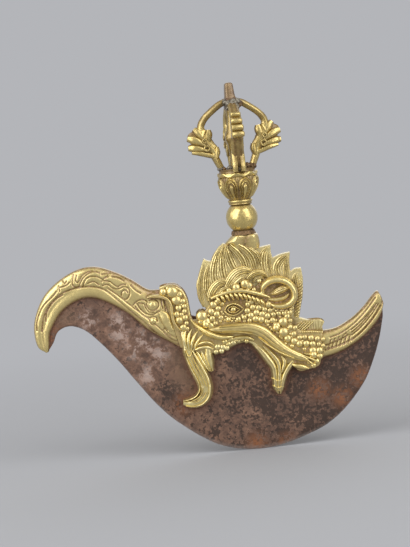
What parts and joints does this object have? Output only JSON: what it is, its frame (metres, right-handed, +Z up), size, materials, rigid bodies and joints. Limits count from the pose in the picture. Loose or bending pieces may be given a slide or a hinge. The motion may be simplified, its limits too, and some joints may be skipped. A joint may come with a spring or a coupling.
{
  "type": "kartika ritual chopper",
  "caption": "Crescent chopper: hooked iron blade in brass sleeves and a makara head with flame crest, under a lotus and half vajra handle.",
  "frame": {"origin": "middle of the round grip ball", "axes": "+Z up the handle to the spike, +X towards the short tail of the blade, +Y from the viewed face to the other face"},
  "size_m": [0.1755, 0.046, 0.1848],
  "materials": {
    "iron": "matt, brown rust with dark pits",
    "cast_brass": "cast and chased, worn bright on high places",
    "old_brass": "darker handled brass, dull in the hollows",
    "solder": "dull grey solder"
  },
  "bodies": {
    "root": {"blade": "iron", "hook_sleeve": "cast_brass", "tail_sleeve": "cast_brass", "flame_crest": "cast_brass", "makara_front": "cast_brass", "makara_back": "cast_brass", "sleeve_rivets": "cast_brass", "cheek_rivets": "cast_brass", "neck_collar": "cast_brass", "neck_solder": "solder", "grip_ball": "old_brass", "waist_ring": "old_brass", "lotus_cup": "old_brass", "vajra_seat": "old_brass", "seat_solder": "solder", "prong_left": "old_brass", "prong_right": "old_brass", "prong_front": "old_brass", "prong_back": "old_brass", "centre_spike": "old_brass", "crown_solder": "solder", "core_rod": "iron", "tang_pin": "iron"}
  },
  "joints": []
}
